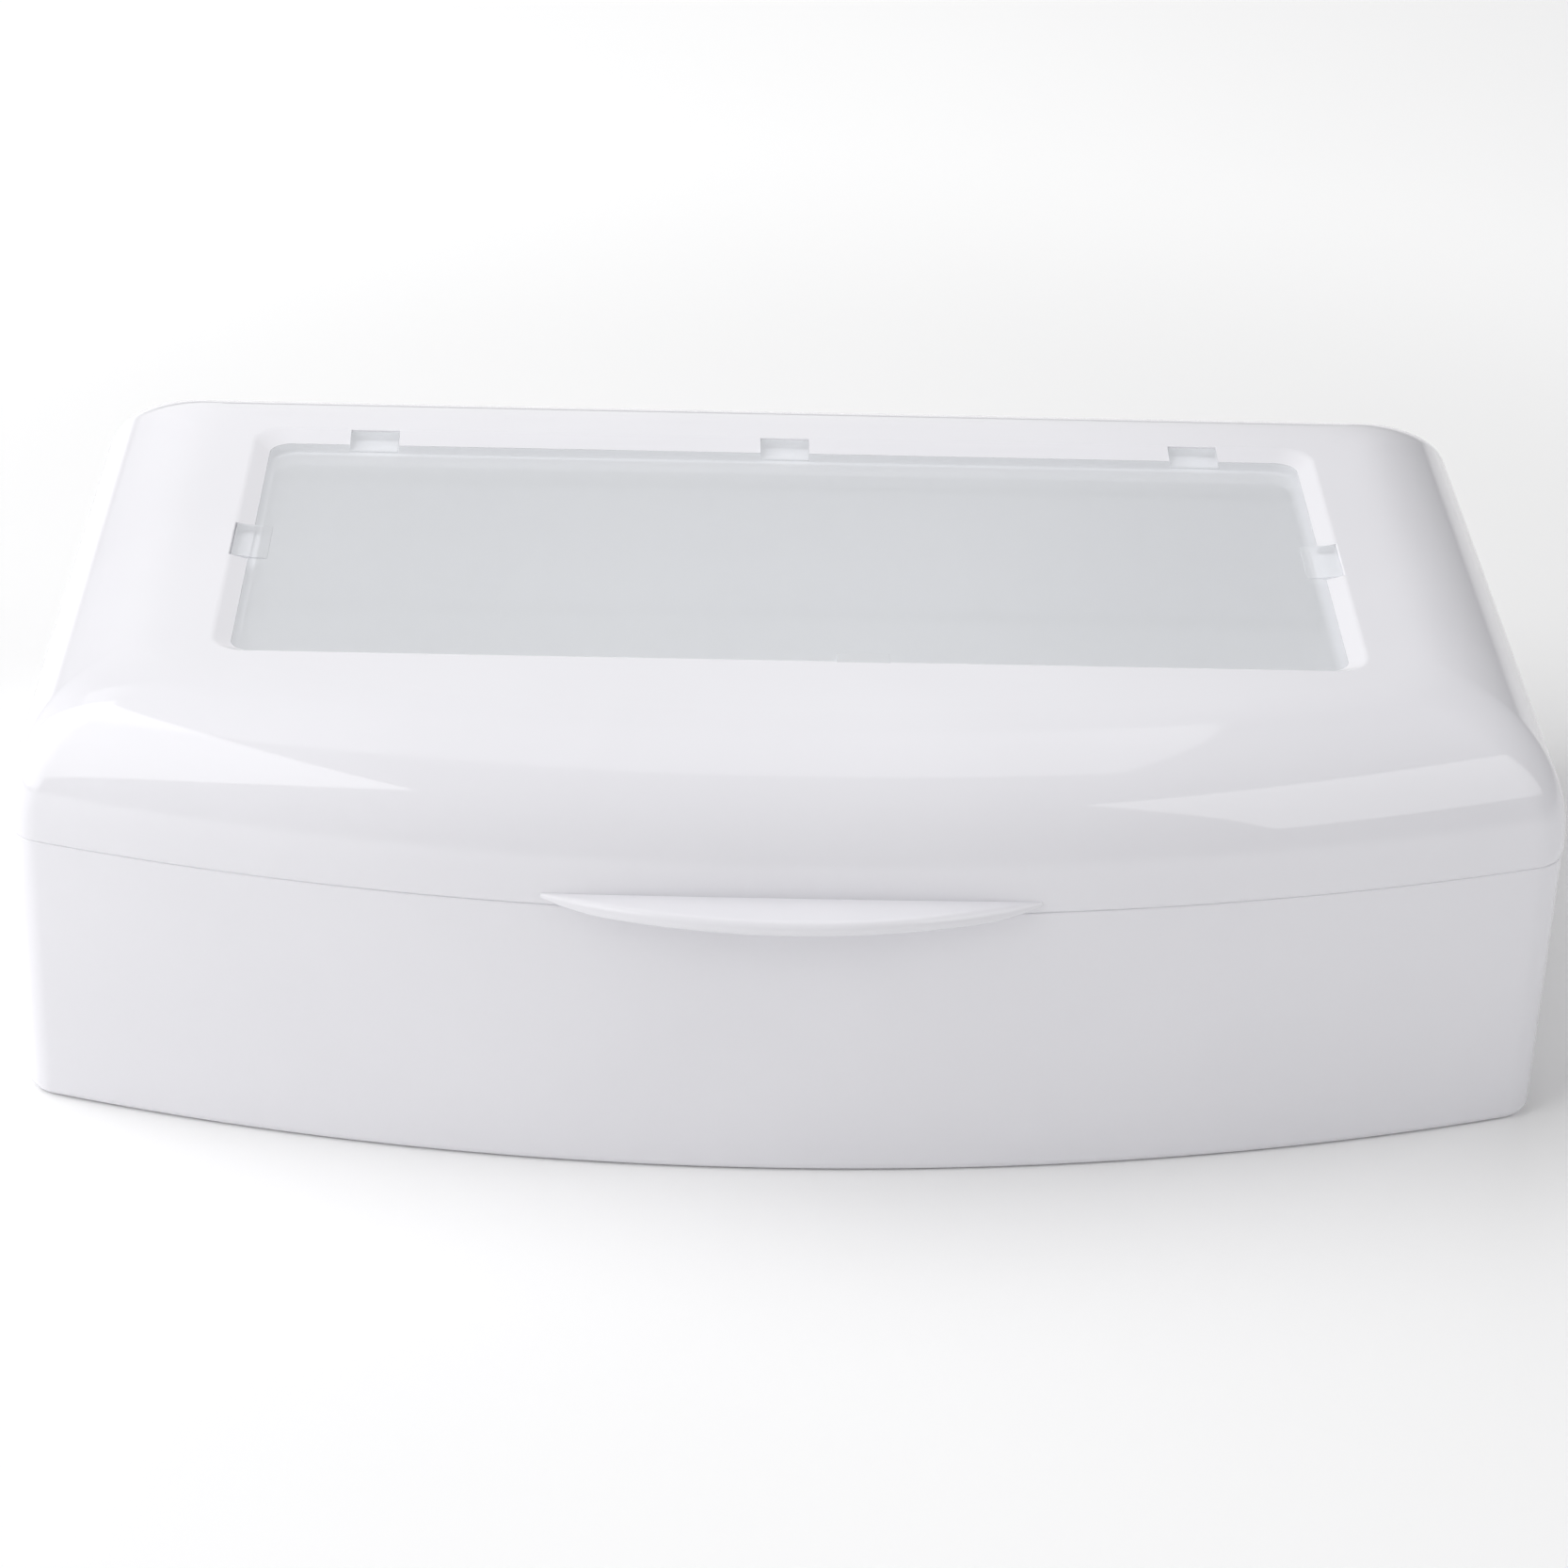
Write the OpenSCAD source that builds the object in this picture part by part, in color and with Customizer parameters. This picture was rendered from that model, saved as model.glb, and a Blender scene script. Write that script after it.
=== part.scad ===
// Instrument disinfecting tray: a tub with a bowed front, a hinged lid with a frosted window,
// and a strainer basket that rises level as the lid opens. Millimetres, +Z up, front towards -Y.

/* [Box] */
// Width of the lid at the front corners
body_w = 258; // [220:1:320]
// Depth of the closed box without lip and hinges
body_d = 162.8; // [155:0.1:190]
// Height of the closed box
body_h = 73.8; // [70:0.1:90]
// Height of the lower edge of the lid
seam_h = 49.6; // [46:0.1:52]
// How far the middle of the front stands out past its ends
front_bow = 21.6; // [12:0.1:28]
// Narrowing of each side from front to back
side_taper = 1.4; // [0:0.1:3]
// Plan radius of the front corners at the seam
front_corner_r = 8; // [6:0.5:12]
// Plan radius of the back corners at the seam
back_corner_r = 7; // [6:0.5:14]
// Gap between the lid edge and the tub rim
seam_gap = 0.3; // [0.2:0.05:0.6]

/* [Lid] */
// Wall thickness of the lid
lid_wall = 2; // [1.6:0.1:2.3]
// How far the lid stands out past the tub
lid_overhang = 0.2; // [0.1:0.1:0.8]
// Upright band of the lid above the seam
lid_band = 1.6; // [1:0.1:3]
// Run of the rounded side shoulder
roll_side = 24; // [16:0.5:26]
// Run of the rounded front shoulder
roll_front = 26; // [18:0.5:27]
// Run of the rounded back shoulder
roll_back = 23; // [16:0.5:25]
// Fullness of the shoulder's section, where 2 is a plain ellipse
shoulder_n = 2.4; // [2:0.1:2.8]
// Plan radius of the front corners where the top turns flat
top_front_r = 14; // [10:0.5:20]
// Plan radius of the back corners where the top turns flat
top_back_r = 8; // [6:0.5:16]
// Opening angle of the lid
lid_open = 100; // [85:1:105]

/* [Finger lip] */
// Length of the lip along the front
lip_w = 82.5; // [50:0.5:110]
// How far the lip stands out in the middle
lip_out = 7; // [4:0.1:10]
// Height of the lip at its outer edge
lip_h = 2.1; // [1.6:0.1:4]
// Rise of the top of the lip from its outer edge to the lid, in the middle
lip_rise = 1; // [0.2:0.1:2]

/* [Window] */
// Distance from each side of the box to the window
win_side = 32.2; // [30:0.1:45]
// Distance from the front of the box to the window
win_front = 43.3; // [40:0.1:60]
// Distance from the back of the box to the window
win_back = 28.1; // [26:0.1:36]
// Corner radius of the window
win_corner_r = 5.5; // [4:0.1:9]
// Run of the bevel round the window
bevel_run = 3; // [2:0.1:3.5]
// Depth of the bevel round the window
bevel_depth = 1.6; // [1.2:0.1:2.6]
// Thickness of the pane
pane_t = 1.6; // [1:0.1:2.5]
// Clearance round the pane
pane_gap = 0.15; // [0.05:0.01:0.3]
// Width of the ledge that carries the pane
ledge_w = 2.5; // [1.5:0.1:4]
// Thickness of the ledge that carries the pane
ledge_t = 1.4; // [1:0.1:2.5]
// How far the frame under the window stands out past the bevel
frame_rib = 1.5; // [1:0.1:2.5]
// Width of the back and front snap tabs of the pane
tab_w = 8.8; // [5:0.1:14]
// Width of the side snap tabs of the pane
side_tab_w = 13; // [6:0.5:18]
// How far a snap tab lies on the pane
tab_hold = 3.4; // [2:0.1:5]
// How far the top of a snap tab lies below the lid
tab_sink = 0.8; // [0.3:0.1:1]
// Distance of the outer back tabs from the sides of the window
tab_side = 21.8; // [12:0.1:50]
// Distance of the front tab from the middle
front_tab_x = 12; // [0:1:40]
// Distance of the side tabs in front of the middle of the window
side_tab_y = 2; // [-20:1:20]

/* [Tub] */
// Wall thickness of the tub
tub_wall = 3.2; // [2.8:0.1:3.6]
// Floor thickness of the tub
tub_floor = 2.4; // [2:0.1:3.5]
// Narrowing of each wall from rim to foot
tub_draft = 0.8; // [0.3:0.1:1.5]
// Radius of the outer bottom edge
foot_r = 1.8; // [1.2:0.1:3]
// Radius between floor and wall inside
floor_fillet = 3; // [2:0.1:5]
// Height of the rim tongue inside the lid
tongue_h = 2.5; // [1.5:0.1:3]
// Clearance between the rim tongue and the lid
tongue_gap = 0.4; // [0.3:0.05:0.6]
// Distance of the basket rests from the middle
rest_x = 70; // [40:1:85]
// Length of a basket rest, front to back
rest_l = 90; // [40:1:100]
// Thickness of the basket rests and of the webs under the link posts
rest_t = 3; // [2:0.1:5]

/* [Hinge] */
// Distance of each hinge from the middle
hinge_x = 75; // [40:1:80]
// Distance of the hinge axis behind the lid
hinge_out = 4; // [3.9:0.1:5]
// Radius of the hinge barrel
barrel_r = 3.5; // [3:0.1:3.6]
// Length of the lid knuckle
knuckle_l = 14; // [10:0.5:20]
// Thickness of each tub ear
ear_t = 4; // [3:0.5:6]
// Height of an ear's root on the tub wall
ear_root = 10.5; // [6:0.5:14]
// Height of the knuckle's root on the lid wall
knuckle_root = 7; // [5:0.5:9]
// Radius of the hinge pins
hinge_pin_r = 1.5; // [1:0.1:1.8]
// Gap left when the heel of the knuckle stops at the tub
stop_gap = 0.3; // [0.2:0.05:0.5]

/* [Lift] */
// Distance of the lid arm pivot in front of the hinge axis
crank_back = 14; // [13:0.1:16]
// Distance of the lid arm pivot below the hinge axis
crank_down = 14.3; // [12:0.1:16]
// Distance from the lid arm pivot forward to the link pivot
link_span = 105; // [90:1:110]
// Drop from the lid arm pivot to the link pivot
link_drop = 8; // [6:0.5:10]
// Distance from each side of the box to the arms and links
arm_side = 16; // [15:0.5:22]
// Thickness of the arms and links
arm_t = 3.5; // [2.5:0.1:4]
// Radius of the arm and link eyes
eye_r = 4.2; // [3.5:0.1:4.5]
// Length of the arm root under the lid
arm_root = 22; // [14:0.5:30]
// Distance of the arm root in front of the back shoulder
arm_root_in = 1; // [0.5:0.1:6]
// Height above the seam where the arm bends forward
arm_knee = 6; // [3:0.5:8]
// Radius of the lift pins
lift_pin_r = 1.5; // [1:0.1:1.8]
// How deep a link foot pin sits in its post
foot_pin_depth = 8; // [5:0.5:9]
// Radius of a pin head
head_r = 2.8; // [2.4:0.1:3.4]
// Thickness of a pin head
head_t = 1.2; // [0.8:0.1:1.6]
// Running clearance of the pins, on the radius
run_gap = 0.05; // [0.02:0.01:0.1]
// Clearance between the flanks of moving pieces
side_gap = 0.3; // [0.25:0.05:0.5]

/* [Basket] */
// Height of the basket underside when the box is closed
basket_z = 11.2; // [9:0.1:13]
// Height of the basket walls
basket_h = 15; // [10:0.5:20]
// Wall thickness of the basket
basket_wall = 1.8; // [1.4:0.1:2.5]
// Floor thickness of the basket
basket_floor = 2; // [1.5:0.1:3]
// Length of the pivot bosses on the basket lugs
boss_l = 4; // [3:0.5:6]
// Radius of the pivot bosses
boss_r = 3.6; // [3:0.1:4]
// How far the foot of a basket lug reaches forward of its eye
lug_flare = 8; // [2:0.5:12]
// How far the basket rim stands out
flange_out = 1.5; // [0.5:0.1:2]
// Thickness of the basket rim
flange_t = 2; // [1.5:0.1:3]
// Least gap between the moving basket and the tub
basket_gap = 1; // [0.5:0.1:2]
// Plan radius of the basket corners
basket_corner_r = 5; // [4:0.5:8]
// Width of a drain slot
slot_w = 4; // [2.5:0.1:5]
// Length of a drain slot
slot_l = 18; // [10:0.5:22]
// Pitch of the drain slots along the basket
slot_pitch_x = 11; // [8:0.5:16]
// Pitch of the drain slots from front to back
slot_pitch_y = 24; // [23:0.5:30]
// Least web between a drain slot and the basket wall
slot_web = 4; // [2:0.5:8]

/* [Hidden] */
$fn = 48;

// Steps along the bowed front, round a corner, over a shoulder and round a bottom edge
front_steps = 16;
corner_steps = 6;
roll_steps = 8;
edge_steps = 3;

// Overshoot of cutting tools, and the least radius left in an inside corner
cut = 1;
least_corner_r = 1;

// Places of the box, with the whole object centred on the origin front to back
total_d = lip_out + body_d + hinge_out + barrel_r;
y_front = lip_out - total_d / 2;
y_back = y_front + body_d;
half_w = body_w / 2;
bow_r = (half_w * half_w + front_bow * front_bow) / (2 * front_bow);
bow_y = y_front + bow_r;

// Window and pane
lid_roll_h = body_h - seam_h - lid_band;
win_half = half_w - win_side;
win_y0 = y_front + win_front;
win_y1 = y_back - win_back;
pane_top = body_h - bevel_depth;
pane_bottom = pane_top - pane_t;
pane_corner_r = win_corner_r - bevel_run / 2;
tab_x = win_half - tab_side;
tab_bed = 0.3;
notch_gap = 0.1;

// Distances in from the lid's outline: tub rim, tub foot, tongue and inner wall
rim_z = seam_h - seam_gap;
tub_foot_in = lid_overhang + tub_draft;
tongue_in = lid_wall + tongue_gap;
tub_inner_in = lid_overhang + tub_wall;

// Hinge axis and the heel that stops the lid
hinge_y = y_back + hinge_out;
hinge_z = seam_h;
heel_reach = hinge_out + lid_overhang - stop_gap;
heel_l = (barrel_r + heel_reach * cos(lid_open)) / sin(lid_open);
ear_start = knuckle_l / 2 + side_gap;
ear_end = ear_start + ear_t;

// Pivots of the level lift, seen from the side: a crank on the lid and an equal link on the tub
crank_r = norm([crank_back, crank_down]);
arm_pivot = [hinge_y - crank_back, hinge_z - crank_down];
link_foot = [hinge_y - link_span, hinge_z - link_drop];
link_head = [arm_pivot[0] - link_span, arm_pivot[1] - link_drop];
arm_in_x = half_w - arm_side - arm_t / 2;
arm_out_x = arm_in_x + arm_t;
post_x = arm_out_x + side_gap;
post_wall_x = (half_w - tub_foot_in - tub_wall / 2) * taper_at(link_foot[0]);

// Basket, with room for its swing to the front and, at the end, to the back
boss_end_x = arm_in_x - side_gap;
basket_half = boss_end_x - boss_l;
basket_top = basket_z + basket_h;
swing_front = crank_r - crank_back;
swing_back = max(0, crank_back - crank_back * cos(lid_open) - crank_down * sin(lid_open));
basket_y0 = y_front + tub_foot_in + tub_wall + swing_front + flange_out + basket_gap;
basket_y1 = y_back - tub_inner_in - max(swing_back, flange_out) - basket_gap;

// Share of the width that is left at a place, where the box narrows towards the back
function taper_at(y) = 1 - side_taper / half_w * (y - y_front - front_bow) / (body_d - front_bow);

// Plan outline of the box: bowed front, straight sides and back, round corners.
// Each edge is moved in by its own amount.
function outline(side_in, front_in, back_in, front_r, back_r, tapered = true) =
    let (hw = half_w - side_in, arc_r = bow_r - front_in, cx = hw - front_r)
    let (cy = bow_y - sqrt(pow(arc_r - front_r, 2) - cx * cx), turn = asin(cx / (arc_r - front_r)))
    let (bx = hw - back_r, by = y_back - back_in - back_r)
    let (points = concat(
        [for (i = [0:front_steps]) let (t = turn * (2 * i / front_steps - 1))
            [arc_r * sin(t), bow_y - arc_r * cos(t)]],
        [for (i = [1:corner_steps]) let (t = turn + (90 - turn) * i / corner_steps)
            [cx + front_r * sin(t), cy - front_r * cos(t)]],
        [for (i = [0:corner_steps]) let (t = 90 * i / corner_steps)
            [bx + back_r * cos(t), by + back_r * sin(t)]],
        [for (i = [0:corner_steps]) let (t = 90 * i / corner_steps)
            [-bx - back_r * sin(t), by + back_r * cos(t)]],
        [for (i = [0:corner_steps - 1]) let (t = 90 - (90 - turn) * i / corner_steps)
            [-cx - front_r * sin(t), cy - front_r * cos(t)]]))
    [for (p = points) [p[0] * (tapered ? taper_at(p[1]) : 1), p[1]]];

// Plan outline of the window, with as many points as the box outline
function window_outline(grow, r) =
    let (x = win_half + grow - r, y0 = win_y0 - grow + r, y1 = win_y1 + grow - r)
    concat(
        [for (i = [0:front_steps]) [x * (2 * i / front_steps - 1), y0 - r]],
        [for (i = [1:corner_steps]) let (t = 90 * i / corner_steps) [x + r * sin(t), y0 - r * cos(t)]],
        [for (i = [0:corner_steps]) let (t = 90 * i / corner_steps) [x + r * cos(t), y1 + r * sin(t)]],
        [for (i = [0:corner_steps]) let (t = 90 * i / corner_steps) [-x - r * sin(t), y1 + r * cos(t)]],
        [for (i = [0:corner_steps - 1]) let (t = 90 - 90 * i / corner_steps)
            [-x - r * sin(t), y0 - r * cos(t)]]);

function at_height(points, z) = [for (p = points) [p[0], p[1], z]];

// Corner radius after its walls move in
function inner_r(r, inset) = max(r - inset, least_corner_r);

// One ring of the lid shoulder, outside (wall 0) or inside, at an angle from upright to flat
function shoulder(a, wall) =
    let (run = 1 - pow(cos(a), 2 / shoulder_n), rise = pow(sin(a), 2 / shoulder_n))
    at_height(
        outline(
            wall + (roll_side - wall) * run,
            wall + (roll_front - wall) * run,
            wall + (roll_back - wall) * run,
            inner_r(front_corner_r + (top_front_r - front_corner_r) * run, wall * cos(a)),
            inner_r(back_corner_r + (top_back_r - back_corner_r) * run, wall * cos(a))),
        body_h - wall - (lid_roll_h - wall) * (1 - rise));

// One ring of an upright wall, moved in by an amount
function wall_ring(inset, z) =
    at_height(
        outline(inset, inset, inset, inner_r(front_corner_r, inset), inner_r(back_corner_r, inset)), z);

// Skin over a stack of rings, closed on itself or capped at both ends
module loft(rings, loop) {
    n = len(rings[0]);
    m = len(rings);
    points = [for (r = rings) each r];
    sides = [for (i = [0:loop ? m - 1 : m - 2], j = [0:n - 1])
        let (a = i * n + j, b = i * n + (j + 1) % n)
        let (c = (i + 1) % m * n + j, d = (i + 1) % m * n + (j + 1) % n)
        each [[a, c, d], [a, d, b]]];
    first_cap = [for (j = [0:n - 1]) j];
    last_cap = [for (j = [0:n - 1]) m * n - 1 - j];
    polyhedron(points, loop ? sides : concat(sides, [first_cap, last_cap]), convexity = 10);
}

// Flat profile seen from the side, thick from x0 to x1
module across(x0, x1) {
    translate([x0, 0, 0]) rotate([90, 0, 90]) linear_extrude(x1 - x0) children();
}

// Round bar along the width, at a place seen from the side
module bar(p, r, x0, x1) {
    translate([x0, p[0], p[1]]) rotate([0, 90, 0]) cylinder(r = r, h = x1 - x0);
}

// Copy on the right (1) or left (-1)
module on_side(side) {
    mirror([side < 0 ? 1 : 0, 0, 0]) children();
}

module both_sides() {
    for (side = [-1, 1]) on_side(side) children();
}

module tub_walls() {
    foot = [for (i = [0:edge_steps]) let (t = 90 * i / edge_steps)
        wall_ring(tub_foot_in + foot_r * (1 - sin(t)), foot_r * (1 - cos(t)))];
    rim = [
        wall_ring(lid_overhang, rim_z), wall_ring(tongue_in, rim_z),
        wall_ring(tongue_in, seam_h + tongue_h), wall_ring(tub_inner_in, seam_h + tongue_h)
    ];
    inside = [for (i = [0:edge_steps]) let (t = 90 * i / edge_steps)
        wall_ring(
            tub_foot_in + tub_wall + floor_fillet * (1 - cos(t)),
            tub_floor + floor_fillet * (1 - sin(t)))];
    loft(concat(foot, rim, inside), false);
}

// Ear that carries a hinge pin, seen from the side
module ear_profile() {
    wall_y = y_back - tub_foot_in - tub_wall / 2;
    top_z = rim_z - side_gap;
    translate([hinge_y, hinge_z]) circle(barrel_r);
    polygon([
        [wall_y, top_z], [hinge_y, top_z],
        [hinge_y + barrel_r * cos(45), hinge_z - barrel_r * sin(45)], [wall_y, hinge_z - ear_root]
    ]);
}

// Post on the tub's end wall that carries a lift link
module link_post() {
    bar(link_foot, eye_r, post_x, post_wall_x);
    translate([post_x, link_foot[0] - rest_t / 2, tub_floor / 2])
        cube([post_wall_x - post_x, rest_t, link_foot[1] - tub_floor / 2]);
}

// Rail on the tub floor that the closed basket stands on
module basket_rest() {
    translate([rest_x - rest_t / 2, -rest_l / 2, tub_floor / 2])
        cube([rest_t, rest_l, basket_z - side_gap - tub_floor / 2]);
}

module base_tub() {
    color("white") difference() {
        union() {
            tub_walls();
            both_sides() {
                across(hinge_x + ear_start, hinge_x + ear_end) ear_profile();
                across(hinge_x - ear_end, hinge_x - ear_start) ear_profile();
                link_post();
                basket_rest();
            }
        }
        both_sides() {
            bar([hinge_y, hinge_z], hinge_pin_r, hinge_x - ear_end - cut, hinge_x + ear_end + cut);
            bar(link_foot, lift_pin_r, post_x - cut, post_x + foot_pin_depth);
        }
    }
}

// Lid walls as one closed loop of rings: outside, over the shoulder, into the window, back inside
module lid_walls() {
    outside = concat([wall_ring(0, seam_h)], [for (i = [0:roll_steps]) shoulder(90 * i / roll_steps, 0)]);
    frame_z = pane_bottom - ledge_t;
    window = [
        at_height(window_outline(0, win_corner_r), body_h),
        at_height(window_outline(-bevel_run, pane_corner_r), pane_top),
        at_height(window_outline(-bevel_run, pane_corner_r), pane_bottom),
        at_height(window_outline(-bevel_run - ledge_w, pane_corner_r), pane_bottom),
        at_height(window_outline(-bevel_run - ledge_w, pane_corner_r), frame_z),
        at_height(window_outline(frame_rib, win_corner_r + frame_rib), frame_z),
        at_height(window_outline(frame_rib, win_corner_r + frame_rib), body_h - lid_wall)
    ];
    inside = concat(
        [for (i = [0:roll_steps]) shoulder(90 - 90 * i / roll_steps, lid_wall)],
        [wall_ring(lid_wall, seam_h)]);
    loft(concat(outside, window, inside), true);
}

// Crescent lip along the front edge of the lid, with a top that rises to the lid
module finger_lip() {
    sag = bow_r - sqrt(bow_r * bow_r - lip_w * lip_w / 4);
    reach = lip_out + sag;
    lip_r = (lip_w * lip_w / 4 + reach * reach) / (2 * reach);
    slope_run = lip_out + lid_wall;
    slope_h = lip_rise * slope_run / lip_out;
    difference() {
        intersection() {
            translate([0, y_front - lip_out + lip_r, seam_h]) {
                cylinder(r = lip_r, h = lip_h, $fn = 180);
                translate([0, 0, lip_h])
                    cylinder(r1 = lip_r, r2 = lip_r - slope_run, h = slope_h, $fn = 180);
            }
            translate([-lip_w, y_front - 2 * lip_out, seam_h])
                cube([2 * lip_w, 4 * lip_out, lip_h + slope_h]);
        }
        translate([0, bow_y, seam_h - cut])
            cylinder(r = bow_r - lid_wall / 2, h = lip_h + slope_h + 2 * cut, $fn = 360);
    }
}

// Knuckle with the heel that stops the open lid, seen from the side
module knuckle_profile() {
    wall_y = y_back - lid_wall / 2;
    translate([hinge_y, hinge_z]) {
        circle(barrel_r);
        rotate(lid_open) translate([-heel_reach, -heel_l]) square([heel_reach, heel_l]);
    }
    polygon([
        [wall_y, hinge_z + side_gap], [hinge_y, hinge_z + side_gap],
        [hinge_y, hinge_z + barrel_r], [wall_y, hinge_z + knuckle_root]
    ]);
}

// Arm under the lid that carries the basket, seen from the side
module arm_profile() {
    root_y = y_back - roll_back - arm_root_in;
    root_z = body_h - lid_wall;
    translate(arm_pivot) circle(eye_r);
    polygon([
        [arm_pivot[0] - eye_r, arm_pivot[1]], [arm_pivot[0] + eye_r, arm_pivot[1]],
        [arm_pivot[0] + eye_r, seam_h + arm_knee], [root_y, root_z], [root_y - arm_root, root_z],
        [arm_pivot[0] - eye_r, seam_h + arm_knee]
    ]);
}

// Block from the pane out to the top edge of the bevel, with +Y pointing out of the window
module tab_block(width, gap, bottom, top) {
    translate([-width / 2, -bevel_run - tab_hold, bottom])
        cube([width, bevel_run + tab_hold - gap, top - bottom]);
}

// A block for every snap tab, with a gap to the lid or none
module tab_blocks(gap, bottom, top) {
    grow = 2 * (pane_gap - gap);
    for (x = [-tab_x, 0, tab_x])
        translate([x, win_y1, 0]) tab_block(tab_w + grow, gap, bottom, top);
    translate([front_tab_x, win_y0, 0]) rotate(180) tab_block(tab_w + grow, gap, bottom, top);
    for (s = [-1, 1])
        translate([s * win_half, (win_y0 + win_y1) / 2 - side_tab_y, 0]) rotate(-90 * s)
            tab_block(side_tab_w + grow, gap, bottom, top);
}

module lid_shell() {
    color("white") difference() {
        union() {
            lid_walls();
            finger_lip();
            both_sides() {
                across(hinge_x - knuckle_l / 2, hinge_x + knuckle_l / 2) knuckle_profile();
                across(arm_in_x, arm_out_x) arm_profile();
            }
        }
        both_sides() {
            bar([hinge_y, hinge_z], hinge_pin_r + run_gap, hinge_x - ear_start, hinge_x + ear_start);
            bar(arm_pivot, lift_pin_r, arm_in_x - cut, arm_out_x + cut);
        }
        tab_blocks(0, pane_top - tab_bed - notch_gap, body_h + cut);
    }
}

module window_pane() {
    r = pane_corner_r - pane_gap;
    x = win_half - bevel_run - pane_gap - r;
    y0 = win_y0 + bevel_run + pane_gap + r;
    y1 = win_y1 - bevel_run - pane_gap - r;
    color("lightgray") union() {
        translate([0, 0, pane_bottom]) linear_extrude(pane_t) union() {
            translate([-x, y0 - r]) square([2 * x, y1 - y0 + 2 * r]);
            translate([-x - r, y0]) square([2 * x + 2 * r, y1 - y0]);
            for (cx = [-x, x], cy = [y0, y1])
                translate([cx, cy]) circle(r);
        }
        tab_blocks(pane_gap, pane_top - tab_bed, body_h - tab_sink);
    }
}

// Plan outline of the basket, moved in from its outer wall
function basket_outline(inset) =
    let (r = inner_r(basket_corner_r, inset))
    outline(
        half_w - basket_half + inset, basket_y0 - y_front + inset, y_back - basket_y1 + inset,
        r, r, false);

// Front of the basket at a distance from the middle
function basket_front_at(x) = bow_y - sqrt(pow(bow_y - basket_y0, 2) - x * x);

module drain_slot() {
    r = slot_w / 2;
    translate([-r, r]) square([slot_w, slot_l - slot_w]);
    translate([0, r]) circle(r);
    translate([0, slot_l - r]) circle(r);
}

// Slots in rows over the basket floor, leaving a web along every wall
module drain_slots() {
    margin = basket_wall + slot_web;
    columns = floor((basket_half - margin - slot_w / 2) / slot_pitch_x);
    rows = ceil((basket_y1 - basket_y0) / slot_pitch_y);
    for (i = [-columns:columns], j = [1:rows]) {
        x = i * slot_pitch_x;
        y = basket_y1 - margin - slot_l - (j - 1) * slot_pitch_y;
        if (y > basket_front_at(abs(x) + slot_w) + margin)
            translate([x, y]) drain_slot();
    }
}

// Basket wall from the floor up, or its rim
module basket_band(grow, z, h) {
    translate([0, 0, z]) linear_extrude(h) difference() {
        polygon(basket_outline(-grow));
        polygon(basket_outline(basket_wall));
    }
}

// Lug on a basket end that carries a pivot, seen from the side
module lug_profile(p) {
    foot_z = basket_top - flange_t;
    translate(p) circle(eye_r);
    polygon([
        [p[0] - eye_r, p[1]], [p[0] - eye_r - lug_flare, foot_z],
        [p[0] + eye_r, foot_z], [p[0] + eye_r, p[1]]
    ]);
}

module strainer_basket() {
    color("white") difference() {
        union() {
            translate([0, 0, basket_z]) linear_extrude(basket_floor) difference() {
                polygon(basket_outline(0));
                drain_slots();
            }
            basket_band(0, basket_z, basket_h);
            basket_band(flange_out, basket_top - flange_t, flange_t);
            both_sides() {
                for (p = [arm_pivot, link_head]) {
                    across(basket_half - basket_wall, basket_half) lug_profile(p);
                    bar(p, boss_r, basket_half - basket_wall / 2, boss_end_x);
                }
            }
        }
        both_sides() {
            bar(arm_pivot, lift_pin_r + run_gap, basket_half - basket_wall - cut, boss_end_x + cut);
            bar(link_head, lift_pin_r, basket_half - basket_wall - cut, boss_end_x + cut);
        }
    }
}

module hinge_pin(side) {
    color("silver") on_side(side)
        bar([hinge_y, hinge_z], hinge_pin_r, hinge_x - ear_end, hinge_x + ear_end);
}

// Pin whose head stands out past x1
module outer_head_pin(p, x0, x1) {
    bar(p, lift_pin_r, x0, x1);
    bar(p, head_r, x1, x1 + head_t);
}

// Pin between a lid arm and the basket
module lift_pin(side) {
    color("silver") on_side(side)
        outer_head_pin(arm_pivot, basket_half - basket_wall, arm_out_x);
}

// Pin between the basket and a link
module link_head_pin(side) {
    color("silver") on_side(side)
        outer_head_pin(link_head, basket_half - basket_wall, arm_out_x + side_gap / 2);
}

// Pin between a link and its post on the tub, with its head on the basket's side
module link_foot_pin(side) {
    head_x = arm_in_x - side_gap / 2;
    color("silver") on_side(side) {
        bar(link_foot, lift_pin_r, head_x, post_x + foot_pin_depth);
        bar(link_foot, head_r, head_x - head_t, head_x);
    }
}

module lift_link(side) {
    color("white") on_side(side) difference() {
        across(arm_in_x, arm_out_x) {
            translate(link_foot) circle(eye_r);
            translate(link_head) circle(eye_r);
            translate(link_head) rotate(atan2(crank_down, crank_back)) translate([0, -eye_r])
                square([crank_r, 2 * eye_r]);
        }
        bar(link_foot, lift_pin_r + run_gap, arm_in_x - cut, arm_out_x + cut);
        bar(link_head, lift_pin_r + run_gap, arm_in_x - cut, arm_out_x + cut);
    }
}

base_tub();
lid_shell();
window_pane();
strainer_basket();
hinge_pin(-1);  // hinge_pin_left
hinge_pin(1);  // hinge_pin_right
lift_pin(-1);  // lift_pin_left
lift_pin(1);  // lift_pin_right
lift_link(-1);  // lift_link_left
lift_link(1);  // lift_link_right
link_foot_pin(-1);  // link_foot_pin_left
link_foot_pin(1);  // link_foot_pin_right
link_head_pin(-1);  // link_head_pin_left
link_head_pin(1);  // link_head_pin_right
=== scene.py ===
import math

import bmesh
import bpy
import numpy as np
from mathutils import Matrix, Vector


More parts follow.
